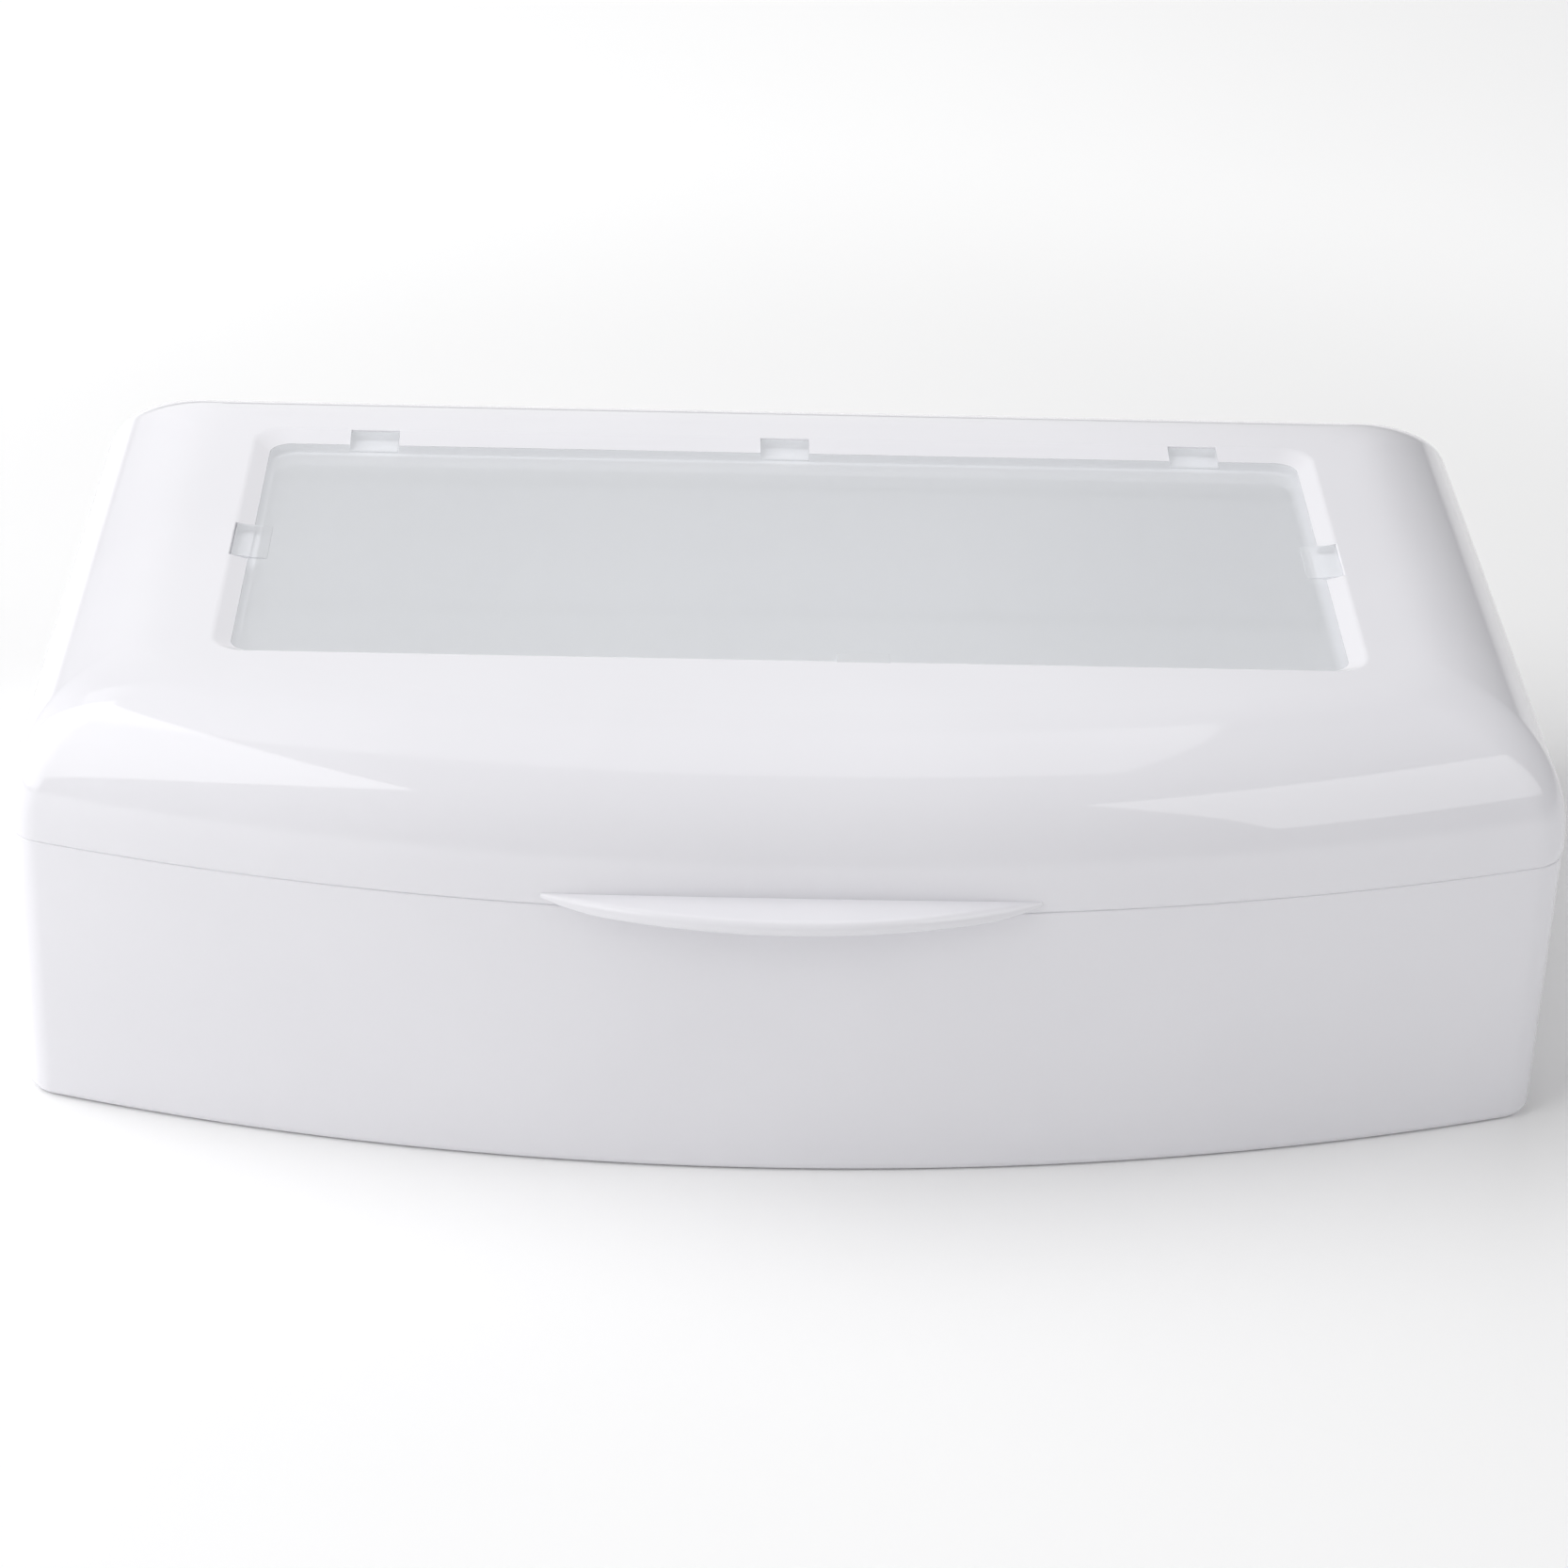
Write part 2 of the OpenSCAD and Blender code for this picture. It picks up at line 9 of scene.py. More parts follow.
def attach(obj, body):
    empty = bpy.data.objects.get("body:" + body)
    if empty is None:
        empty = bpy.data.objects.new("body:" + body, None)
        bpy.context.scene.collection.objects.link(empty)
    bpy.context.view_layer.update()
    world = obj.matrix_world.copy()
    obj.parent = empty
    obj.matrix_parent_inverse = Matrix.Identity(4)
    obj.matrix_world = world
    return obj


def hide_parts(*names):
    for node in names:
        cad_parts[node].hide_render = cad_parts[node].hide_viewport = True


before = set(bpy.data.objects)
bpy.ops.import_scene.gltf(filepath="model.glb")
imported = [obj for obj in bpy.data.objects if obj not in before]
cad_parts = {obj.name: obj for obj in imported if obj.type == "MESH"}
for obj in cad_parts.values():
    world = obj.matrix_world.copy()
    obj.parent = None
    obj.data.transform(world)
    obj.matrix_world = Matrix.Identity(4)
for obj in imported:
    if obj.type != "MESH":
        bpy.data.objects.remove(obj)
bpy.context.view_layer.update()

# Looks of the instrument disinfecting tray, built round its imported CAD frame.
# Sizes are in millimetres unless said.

MM = 0.001

# Box, as in the CAD source. Only the render has the names with SHOWN, PANE_REST, PANE_AHEAD,
# BEVEL_LAP, TAB_RISE, SIDE_TAB_RISE and TAB_TOE.
BODY_W, BODY_D, BODY_H = 258.0, 162.8, 73.8
SEAM_H, SEAM_GAP = 49.6, 0.3
FRONT_BOW, SIDE_TAPER = 21.6, 1.4
FRONT_CORNER_R, BACK_CORNER_R = 8.0, 7.0
LID_WALL, LID_OVERHANG, LID_BAND = 2.0, 0.2, 1.6
ROLL_SIDE, ROLL_FRONT, ROLL_BACK, SHOULDER_N = 24.0, 26.0, 23.0, 2.4
TOP_FRONT_R, TOP_BACK_R = 14.0, 8.0
LID_OPEN = math.radians(100)
LIP_W, LIP_OUT, LIP_H, LIP_RISE = 82.5, 7.0, 2.1, 1.0
WIN_SIDE, WIN_FRONT, WIN_BACK, WIN_CORNER_R = 32.2, 43.3, 28.1, 5.5
BEVEL_RUN, BEVEL_DEPTH, BEVEL_SHOWN = 3.0, 1.6, 0.8
PANE_T, PANE_REST, PANE_AHEAD, BEVEL_LAP = 1.6, 0.05, 1.8, 0.12
LEDGE_SHOWN, LEDGE_T, FRAME_RIB = 1.2, 1.4, 1.5
TAB_W, SIDE_TAB_W, TAB_SIDE, FRONT_TAB_X, SIDE_TAB_Y = 8.8, 13.0, 21.8, 12.0, 2.0
TAB_BED, NOTCH_GAP, TAB_RISE, SIDE_TAB_RISE, TAB_TOE = 0.3, 0.1, 0.6, 0.68, 0.08
TUB_WALL, TUB_FLOOR, TUB_DRAFT = 3.2, 2.4, 0.8
FOOT_R, FLOOR_FILLET = 1.8, 3.0
TONGUE_H, TONGUE_GAP = 2.5, 0.4
REST_X, REST_L, REST_T = 70.0, 90.0, 3.0
HINGE_X, HINGE_OUT, BARREL_R = 75.0, 4.0, 3.5
KNUCKLE_L, EAR_T, EAR_ROOT, KNUCKLE_ROOT = 14.0, 4.0, 10.5, 7.0
STOP_GAP, SIDE_GAP = 0.3, 0.3
CRANK_BACK, CRANK_DOWN, LINK_SPAN, LINK_DROP = 14.0, 14.3, 105.0, 8.0
ARM_SIDE, ARM_T, EYE_R = 16.0, 3.5, 4.2
ARM_ROOT, ARM_ROOT_IN, ARM_KNEE = 22.0, 1.0, 6.0
BASKET_Z = 11.2

# Places that follow from them
HALF_W = BODY_W / 2
TOTAL_D = LIP_OUT + BODY_D + HINGE_OUT + BARREL_R
Y_FRONT = LIP_OUT - TOTAL_D / 2
Y_BACK = Y_FRONT + BODY_D
BOW_R = (HALF_W ** 2 + FRONT_BOW ** 2) / (2 * FRONT_BOW)
BOW_Y = Y_FRONT + BOW_R
LID_ROLL_H = BODY_H - SEAM_H - LID_BAND
WIN_HALF = HALF_W - WIN_SIDE
WIN_Y0, WIN_Y1 = Y_FRONT + WIN_FRONT, Y_BACK - WIN_BACK
PANE_TOP = BODY_H - BEVEL_DEPTH
PANE_SHOWN = BODY_H - BEVEL_SHOWN
SEAT_SHOWN = PANE_SHOWN - PANE_T - PANE_REST
PANE_BOTTOM = PANE_TOP - PANE_T
FRAME_Z = PANE_BOTTOM - LEDGE_T
PANE_CORNER_R = WIN_CORNER_R - BEVEL_RUN / 2
PANE_END = -4 * BEVEL_RUN
RIM_Z = SEAM_H - SEAM_GAP
TUB_FOOT_IN = LID_OVERHANG + TUB_DRAFT
TONGUE_IN = LID_WALL + TONGUE_GAP
TUB_INNER_IN = LID_OVERHANG + TUB_WALL
HINGE = np.array([Y_BACK + HINGE_OUT, SEAM_H])
EAR_START = KNUCKLE_L / 2 + SIDE_GAP
HEEL_REACH = HINGE_OUT + LID_OVERHANG - STOP_GAP
HEEL_L = (BARREL_R + HEEL_REACH * math.cos(LID_OPEN)) / math.sin(LID_OPEN)
ARM_PIVOT = HINGE - np.array([CRANK_BACK, CRANK_DOWN])
LINK_FOOT = HINGE - np.array([LINK_SPAN, LINK_DROP])
ARM_IN_X = HALF_W - ARM_SIDE - ARM_T / 2
ARM_OUT_X = ARM_IN_X + ARM_T
POST_X = ARM_OUT_X + SIDE_GAP

# Fineness of the smooth shells
FRONT_STEPS, CORNER_STEPS, SIDE_STEPS, BACK_STEPS = 120, 20, 18, 36
ROLL_STEPS, FOOT_STEPS, EDGE_STEPS, SMALL_STEPS, LIP_STEPS = 30, 8, 5, 3, 120
KNUCKLE_STEPS, EYE_STEPS, EAR_STEPS, POST_STEPS = 16, 24, 28, 40

# Small radii that moulded edges have
RIM_EDGE_R, TONGUE_EDGE_R, BEVEL_EDGE_R, NOTCH_EDGE_R, LIP_EDGE_R = 0.35, 0.3, 4.0, 0.3, 1.5
HINGE_EDGE_R, ARM_EDGE_R, POST_EDGE_R, REST_EDGE_R = 0.3, 0.4, 0.3, 0.5
PANE_EDGE_R, BASKET_EDGE_R, LINK_EDGE_R, PIN_EDGE_R = 0.1, 0.3, 0.35, 0.2
LEAST_CORNER_R = 1.0

# Seam, notches and lip as shown
LID_TUCK, SEAM_SHOWN, NOTCH_SHOWN = 0.35, 0.02, 0.04
LIP_SHOWN, LIP_THIN_FROM, LIP_TIP_H = 0.98, 0.7, 0.5
LIP_ROUND, LIP_UNDER, LIP_REACH = 0.75, 0.25, 1.5
BEVEL_TURN = 0.98
TOP_INSET = 1.0

# Tolerances: of places, of merged points and slivers in metres, and of angles between faces
SAME_PLACE, SAME_LEVEL = 1e-4, 0.01
MERGE, SLIVER = 1e-7, 1e-8
FLAT_ANGLE, SMOOTH_ANGLE, SHARP_ANGLE = math.radians(0.4), math.radians(32), math.radians(40)


# Outlines

def taper_at(y):
    return 1 - SIDE_TAPER / HALF_W * (y - Y_FRONT - FRONT_BOW) / (BODY_D - FRONT_BOW)


def arc(cx, cy, r, start, end, steps):
    """Points of an arc, with angles from +X in radians."""
    t = np.linspace(start, end, steps + 1)
    return np.stack([cx + r * np.cos(t), cy + r * np.sin(t)], 1)


def between(a, b, steps):
    """Inner points of a straight run."""
    t = np.arange(1, steps)[:, None] / steps
    return np.array(a) + t * (np.array(b) - np.array(a))


def outline(side_in, front_in, back_in, front_r, back_r):
    """Plan outline of the box, with each edge moved in by its own amount."""
    hw, arc_r = HALF_W - side_in, BOW_R - front_in
    cx = hw - front_r
    cy = BOW_Y - math.sqrt((arc_r - front_r) ** 2 - cx ** 2)
    turn = math.asin(cx / (arc_r - front_r))
    bx, by = hw - back_r, Y_BACK - back_in - back_r
    quarter = math.pi / 2
    right_front = arc(cx, cy, front_r, turn - quarter, 0, CORNER_STEPS)[1:]
    right_back = arc(bx, by, back_r, 0, quarter, CORNER_STEPS)
    left_back = arc(-bx, by, back_r, quarter, 2 * quarter, CORNER_STEPS)
    left_front = arc(-cx, cy, front_r, 2 * quarter, 3 * quarter - turn, CORNER_STEPS)[:-1]
    p = np.concatenate([
        arc(0, BOW_Y, arc_r, -quarter - turn, turn - quarter, FRONT_STEPS),
        right_front, between(right_front[-1], right_back[0], SIDE_STEPS),
        right_back, between(right_back[-1], left_back[0], BACK_STEPS),
        left_back, between(left_back[-1], left_front[0], SIDE_STEPS), left_front])
    p[:, 0] *= taper_at(p[:, 1])
    return p


def at_height(points, z):
    return np.column_stack([points, np.full(len(points), z)])


def inner_r(r, inset):
    return max(r - inset, LEAST_CORNER_R)


def wall_ring(inset, z):
    front_r, back_r = inner_r(FRONT_CORNER_R, inset), inner_r(BACK_CORNER_R, inset)
    return at_height(outline(inset, inset, inset, front_r, back_r), z)


def shoulder(a, wall, further_in=0.0):
    """One ring of the lid shoulder, outside (wall 0) or inside, from upright to flat."""
    run = 1 - max(math.cos(a), 0) ** (2 / SHOULDER_N)
    rise = math.sin(a) ** (2 / SHOULDER_N)
    side_in, front_in, back_in = (
        wall + (roll - wall) * run + further_in for roll in (ROLL_SIDE, ROLL_FRONT, ROLL_BACK))
    corner_in = wall * math.cos(a) + further_in
    front_r = inner_r(FRONT_CORNER_R + (TOP_FRONT_R - FRONT_CORNER_R) * run, corner_in)
    back_r = inner_r(BACK_CORNER_R + (TOP_BACK_R - BACK_CORNER_R) * run, corner_in)
    return at_height(
        outline(side_in, front_in, back_in, front_r, back_r),
        BODY_H - wall - (LID_ROLL_H - wall) * (1 - rise))


def rounded(a, corner, b, r, steps=EDGE_STEPS):
    """Points of a round of radius r in a corner of a profile that runs from a to b."""
    a, corner, b = (np.array(p, float) for p in (a, corner, b))
    u, v = (a - corner) / np.linalg.norm(a - corner), (b - corner) / np.linalg.norm(b - corner)
    half = math.acos(np.clip(u @ v, -1, 1)) / 2
    middle = corner + (u + v) / np.linalg.norm(u + v) * r / math.sin(half)
    start, end = corner + u * r / math.tan(half) - middle, corner + v * r / math.tan(half) - middle
    swing = math.pi - 2 * half
    return [
        middle + (math.sin((1 - t) * swing) * start + math.sin(t * swing) * end) / math.sin(swing)
        for t in np.linspace(0, 1, steps + 1)]


# Meshes

class Skin:
    """A mesh in the making: rings of points, quads between them, and flat fills between loops."""

    def __init__(self):
        self.points, self.faces, self.fills = [], [], []

    def ring(self, points):
        first = len(self.points)
        self.points += [tuple(p) for p in points]
        return list(range(first, len(self.points)))

    def bridge(self, a, b):
        n = len(a)
        self.faces += [(a[i], a[(i + 1) % n], b[(i + 1) % n], b[i]) for i in range(n)]

    def stack(self, rings):
        """Bridges a row of rings and returns the first and the last."""
        made = [self.ring(r) for r in rings]
        for a, b in zip(made, made[1:]):
            self.bridge(a, b)
        return made[0], made[-1]

    def fill(self, *loops):
        self.fills.append(loops)

    def solid(self, profile, x0, x1, edge_r):
        """A profile seen from the side, (y, z), thick from x0 to x1, with bevelled long edges."""
        profile = np.array(profile, float)
        rings = []
        for x, grow in ((x0, -edge_r), (x0 + edge_r, 0), (x1 - edge_r, 0), (x1, -edge_r)):
            p = offset(profile, grow)
            rings.append(np.column_stack([np.full(len(p), x), p]))
        first, last = self.stack(rings)
        self.fill(first)
        self.fill(last)

    def mesh(self, name):
        """The finished mesh in metres, closed and with its normals out."""
        bm = bmesh.new()
        verts = [bm.verts.new(np.array(p) * MM) for p in self.points]
        for f in self.faces:
            bm.faces.new([verts[i] for i in f])
        for loops in self.fills:
            edges = []
            for loop in loops:
                # Doubled points, where a notch runs out, count once
                loop = [i for i, before in zip(loop, loop[-1:] + loop[:-1])
                        if math.dist(self.points[i], self.points[before]) > SAME_PLACE]
                for i, j in zip(loop, loop[1:] + loop[:1]):
                    edge = bm.edges.get((verts[i], verts[j]))
                    edges.append(edge or bm.edges.new((verts[i], verts[j])))
            if len(loops) == 1:
                bmesh.ops.contextual_create(bm, geom=edges)
            else:
                bmesh.ops.triangle_fill(bm, use_beauty=True, edges=edges)
        bmesh.ops.remove_doubles(bm, verts=bm.verts, dist=MERGE)
        bmesh.ops.dissolve_degenerate(bm, edges=bm.edges, dist=SLIVER)
        bmesh.ops.recalc_face_normals(bm, faces=bm.faces)
        made = bpy.data.meshes.new(name)
        bm.to_mesh(made)
        bm.free()
        smooth(made)
        return made


def smooth(mesh):
    mesh.polygons.foreach_set("use_smooth", [True] * len(mesh.polygons))
    mesh.set_sharp_from_angle(angle=SMOOTH_ANGLE)


def offset(profile, grow):
    """A closed profile with every edge moved out by an amount."""
    if not grow:
        return profile
    ahead, behind = np.roll(profile, -1, 0) - profile, profile - np.roll(profile, 1, 0)
    ahead, behind = (d / np.linalg.norm(d, axis=1)[:, None] for d in (ahead, behind))
    n1, n2 = (np.column_stack([d[:, 1], -d[:, 0]]) for d in (behind, ahead))
    miter = (n1 + n2) / (1 + (n1 * n2).sum(1))[:, None]
    return profile + grow * miter


def piece(mesh, body, material, slot, *nodes):
    """A new piece that rides on a body and stands for CAD nodes."""
    obj = bpy.data.objects.new(mesh.name, mesh)
    bpy.context.scene.collection.objects.link(obj)
    obj.data.materials.append(material)
    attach(obj, body)
    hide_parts(*nodes)
    weighted = obj.modifiers.new("even_normals", "WEIGHTED_NORMAL")
    weighted.keep_sharp = True
    return obj


def refined(node, edge, segments=2, reshape=None):
    """A copy of a CAD node's mesh with its flat faces joined and its edges rounded."""
    bm = bmesh.new()
    bm.from_mesh(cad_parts[node].data)
    bmesh.ops.remove_doubles(bm, verts=bm.verts, dist=MERGE)
    if reshape:
        for v in bm.verts:
            v.co = reshape(*(v.co / MM)) * MM
    bmesh.ops.dissolve_limit(
        bm, angle_limit=FLAT_ANGLE, verts=bm.verts, edges=bm.edges, delimit={"NORMAL"})
    sharp = [e for e in bm.edges if len(e.link_faces) == 2 and e.calc_face_angle() > SHARP_ANGLE]
    bmesh.ops.bevel(
        bm, geom=sharp, offset=edge * MM, offset_type="OFFSET", segments=segments, profile=0.5,
        affect="EDGES", clamp_overlap=True)
    made = bpy.data.meshes.new(node + "_finished")
    bm.to_mesh(made)
    bm.free()
    smooth(made)
    return made


# Pieces

def ahead(grow):
    """How far forward a ring round the window lies: the front bevel is the narrow one."""
    return PANE_AHEAD * min(max(-grow / BEVEL_RUN, 0), 1)


def window_ring(plain, notched, r):
    """Ring round the window. plain and notched are (grow, z): off the snap tabs, and in their cuts."""
    grow, z = plain
    x = WIN_HALF + grow - r
    y0, y1 = WIN_Y0 - grow + r - ahead(grow), WIN_Y1 + grow - r - ahead(grow)
    quarter = math.pi / 2

    def run(stops, reverse, place):
        """Points along one edge: each notch has its two ends twice, off and in the cut."""
        made = []
        for middle, width in sorted(stops, reverse=reverse):
            half = (width / 2 + NOTCH_SHOWN) * (-1 if reverse else 1)
            start, stop = middle - half, middle + half
            for at, level in ((start, plain), (start, notched), (stop, notched), (stop, plain)):
                made.append(place(at, *level))
        return np.array(made)

    def corner(cx, cy, start):
        return at_height(arc(cx, cy, r, start, start + quarter, CORNER_STEPS), z)

    tab_x, side_y = WIN_HALF - TAB_SIDE, (WIN_Y0 + WIN_Y1) / 2 - SIDE_TAB_Y
    back_tabs = [(tab_x, TAB_W), (0, TAB_W), (-tab_x, TAB_W)]
    return np.concatenate([
        run([(FRONT_TAB_X, TAB_W)], False, lambda at, g, h: (at, WIN_Y0 - g - ahead(g), h)),
        corner(x, y0, -quarter),
        run([(side_y, SIDE_TAB_W)], False, lambda at, g, h: (WIN_HALF + g, at, h)),
        corner(x, y1, 0),
        run(back_tabs, True, lambda at, g, h: (at, WIN_Y1 + g - ahead(g), h)),
        corner(-x, y1, quarter),
        run([(side_y, SIDE_TAB_W)], True, lambda at, g, h: (-WIN_HALF - g, at, h)),
        corner(-x, y0, 2 * quarter)])


def window_rings():
    """Rings from the flat top down the bevel, round the pane's pocket and up under the lid."""
    top, low = (0, BODY_H), (-BEVEL_RUN - BEVEL_LAP, PANE_SHOWN)
    bed = PANE_TOP - TAB_BED - NOTCH_GAP
    flat = (BEVEL_EDGE_R / 2, BODY_H)
    plain = rounded(flat, top, low, BEVEL_EDGE_R)
    notched = rounded(flat, top, (0, bed), NOTCH_EDGE_R)
    steps = [(flat, flat), *zip(plain, notched)]
    near_low = (-BEVEL_TURN * BEVEL_RUN, PANE_SHOWN + (1 - BEVEL_TURN) * BEVEL_SHOWN)
    steps += [(near_low, (0, bed)), (low, (-BEVEL_RUN, bed))]
    rings = [window_ring(p, n, WIN_CORNER_R + p[0] / 2) for p, n in steps]
    ledge, frame_r = -BEVEL_RUN - LEDGE_SHOWN, WIN_CORNER_R + FRAME_RIB
    for grow, z, r in (
            (-BEVEL_RUN, SEAT_SHOWN, PANE_CORNER_R), (ledge, SEAT_SHOWN, PANE_CORNER_R),
            (ledge, FRAME_Z, PANE_CORNER_R), (FRAME_RIB, FRAME_Z, frame_r),
            (FRAME_RIB, BODY_H - LID_WALL, frame_r)):
        rings.append(window_ring((grow, z), (grow, z), r))
    return rings


def slope_tabs(x, y, z):
    """Sets the pane to the foot of the shown bevel, and lets the tops of its tabs fall to it."""
    side, end = abs(x) - WIN_HALF, max(y - WIN_Y1, WIN_Y0 - y)
    if z > PANE_TOP + SAME_LEVEL:
        rise = SIDE_TAB_RISE if side > end else TAB_RISE
        z = PANE_SHOWN + (rise if max(side, end) > -BEVEL_RUN else TAB_TOE)
    elif z > PANE_TOP - SAME_LEVEL:
        z = PANE_SHOWN
    elif z < PANE_BOTTOM + SAME_LEVEL:
        z = PANE_SHOWN - PANE_T
    if PANE_END < end < -BEVEL_RUN and side < -BEVEL_RUN:
        y -= PANE_AHEAD
    return Vector((x, y, z))


def knuckle_profile():
    """Lid knuckle with the heel that stops the open lid, seen from the side."""
    c, s = math.cos(LID_OPEN), math.sin(LID_OPEN)
    turn = np.array([[c, -s], [s, c]])
    heel = [HINGE + turn @ np.array(p) for p in ((-HEEL_REACH, 0), (-HEEL_REACH, -HEEL_L))]
    meet = turn @ np.array([-math.sqrt(BARREL_R ** 2 - HEEL_L ** 2), -HEEL_L])
    left = math.pi - math.asin(SIDE_GAP / BARREL_R)
    wall_y = Y_BACK - LID_WALL / 2
    under = arc(*HINGE, BARREL_R, left, LID_OPEN + math.pi, KNUCKLE_STEPS)
    over = arc(*HINGE, BARREL_R, math.atan2(meet[1], meet[0]), math.pi / 2, KNUCKLE_STEPS)
    return np.concatenate([
        [(wall_y, SEAM_H + SIDE_GAP)], under, heel, over, [(wall_y, SEAM_H + KNUCKLE_ROOT)]])


def ear_profile():
    """Tub ear that carries a hinge pin, seen from the side."""
    top_z = RIM_Z - SIDE_GAP
    left = math.pi + math.asin((SEAM_H - top_z) / BARREL_R)
    wall_y = Y_BACK - TUB_FOOT_IN - TUB_WALL / 2
    over = arc(*HINGE, BARREL_R, -math.pi / 4, left, EAR_STEPS)
    return np.concatenate([[(wall_y, SEAM_H - EAR_ROOT)], over, [(wall_y, top_z)]])


def arm_profile():
    """Arm under the lid that carries the strainer, seen from the side."""
    root_y, root_z = Y_BACK - ROLL_BACK - ARM_ROOT_IN, BODY_H - LID_WALL
    eye = arc(*ARM_PIVOT, EYE_R, math.pi, 2 * math.pi, EYE_STEPS)
    knee = SEAM_H + ARM_KNEE
    return np.concatenate([
        eye, [(ARM_PIVOT[0] + EYE_R, knee), (root_y, root_z), (root_y - ARM_ROOT, root_z),
              (ARM_PIVOT[0] - EYE_R, knee)]])


def mirrored(skin_solid, profile, x0, x1, edge_r):
    skin_solid(profile, x0, x1, edge_r)
    skin_solid(profile, -x1, -x0, edge_r)


def add_lip(skin):
    """Crescent lip along the front edge of the lid, with a top that rises to the lid."""
    sag = BOW_R - math.sqrt(BOW_R ** 2 - LIP_W ** 2 / 4)
    reach = LIP_OUT + sag
    lip_r = (LIP_W ** 2 / 4 + reach ** 2) / (2 * reach)
    centre_y = Y_FRONT - LIP_OUT + lip_r
    half = math.asin(LIP_W / 2 / lip_r)
    slope = LIP_RISE / LIP_OUT
    turns = np.linspace(-half, half, LIP_STEPS + 1) * LIP_SHOWN
    profiles = []
    for t in turns:
        d = np.array([math.sin(t), -math.cos(t)])
        # Where this radius of the lip meets the middle of the lid wall
        wall_r = BOW_R - LID_WALL / 2
        b = d[1] * (centre_y - BOW_Y)
        inner = -b + math.sqrt(b * b - (centre_y - BOW_Y) ** 2 + wall_r ** 2)
        width = max(lip_r - inner, LID_WALL / 2)
        top = LIP_H + slope * width
        thin = max(abs(t) / half - LIP_THIN_FROM, 0) / (1 - LIP_THIN_FROM)
        low = (LIP_H - LIP_TIP_H) * thin ** 2
        edge_r = min(LIP_EDGE_R, (LIP_H - low) * LIP_ROUND, width / LIP_REACH)
        edge = [(-width, top), *rounded((-width, top), (0, LIP_H), (0, low), edge_r),
                *rounded((0, LIP_H), (0, low), (-width, low), edge_r * LIP_UNDER, SMALL_STEPS),
                (-width, low)]
        profiles.append([
            (d[0] * (lip_r + out), centre_y + d[1] * (lip_r + out), SEAM_H + up) for out, up in edge])
    first, last = skin.stack(profiles)
    skin.fill(first)
    skin.fill(last)


def make_lid(material):
    """Lid shell with its window opening, finger lip, knuckles and arms, moulded in one."""
    skin = Skin()
    bottom = [(LID_WALL, SEAM_H)]
    edge = [(LID_TUCK * (1 - math.sin(t)), SEAM_H + LID_BAND * (1 - math.cos(t)))
            for t in np.linspace(0, math.pi / 2, FOOT_STEPS + 1)]
    outside = [wall_ring(*p) for p in bottom + edge]
    outside += [shoulder(a, 0) for a in np.linspace(0, math.pi / 2, ROLL_STEPS + 1)]
    outside.append(shoulder(math.pi / 2, 0, TOP_INSET))
    low, top = skin.stack(outside)
    window_top, window_under = skin.stack(window_rings())
    skin.fill(top, window_top)
    inside = [shoulder(a, LID_WALL) for a in np.linspace(math.pi / 2, 0, ROLL_STEPS + 1)]
    under, inner_low = skin.stack(inside)
    skin.bridge(inner_low, low)
    skin.fill(under, window_under)
    add_lip(skin)
    half = KNUCKLE_L / 2
    mirrored(skin.solid, knuckle_profile(), HINGE_X - half, HINGE_X + half, HINGE_EDGE_R)
    mirrored(skin.solid, arm_profile(), ARM_IN_X, ARM_OUT_X, ARM_EDGE_R)
    return piece(skin.mesh("lid"), "lid", material, "shell_plastic", "lid_shell")


def make_tub(material):
    """Tub with its rim tongue, hinge ears, link posts and strainer rests, moulded in one."""
    skin = Skin()
    turns = np.linspace(0, math.pi / 2, FOOT_STEPS + 1)
    outer = [(TUB_FOOT_IN + FOOT_R * (1 - math.sin(t)), FOOT_R * (1 - math.cos(t))) for t in turns]
    rim_z, top_z = SEAM_H - SEAM_SHOWN, SEAM_H + TONGUE_H
    rim = rounded(outer[-1], (LID_OVERHANG, rim_z), (TONGUE_IN, rim_z), RIM_EDGE_R)
    foot_in = TUB_FOOT_IN + TUB_WALL
    step, crest, lee = (TONGUE_IN, rim_z), (TONGUE_IN, top_z), (TUB_INNER_IN, top_z)
    tongue = [step, *rounded(step, crest, lee, TONGUE_EDGE_R, SMALL_STEPS)]
    tongue += rounded(crest, lee, (foot_in, TUB_FLOOR + FLOOR_FILLET), TONGUE_EDGE_R, SMALL_STEPS)
    inner = [(foot_in + FLOOR_FILLET * (1 - math.cos(t)), TUB_FLOOR + FLOOR_FILLET * (1 - math.sin(t)))
             for t in turns]
    first, last = skin.stack([wall_ring(*p) for p in [*outer, *rim, *tongue, *inner]])
    skin.fill(first)
    skin.fill(last)
    for x0 in (HINGE_X + EAR_START, HINGE_X - EAR_START - EAR_T):
        mirrored(skin.solid, ear_profile(), x0, x0 + EAR_T, HINGE_EDGE_R)
    post_end = (HALF_W - TUB_FOOT_IN - TUB_WALL / 2) * taper_at(LINK_FOOT[0])
    eye = arc(*LINK_FOOT, EYE_R, 0, 2 * math.pi, POST_STEPS)[:-1]
    mirrored(skin.solid, eye, POST_X, post_end, POST_EDGE_R)
    y, z = LINK_FOOT
    half, sunk = REST_T / 2, TUB_FLOOR / 2
    web = [(y - half, sunk), (y + half, sunk), (y + half, z), (y - half, z)]
    mirrored(skin.solid, web, POST_X, post_end, POST_EDGE_R)
    end, top = REST_L / 2, BASKET_Z - SIDE_GAP
    rest = [(-end, sunk), (end, sunk), (end, top), (-end, top)]
    mirrored(skin.solid, rest, REST_X - half, REST_X + half, REST_EDGE_R)
    return piece(skin.mesh("tub"), "base", material, "shell_plastic", "base_tub")


# Materials

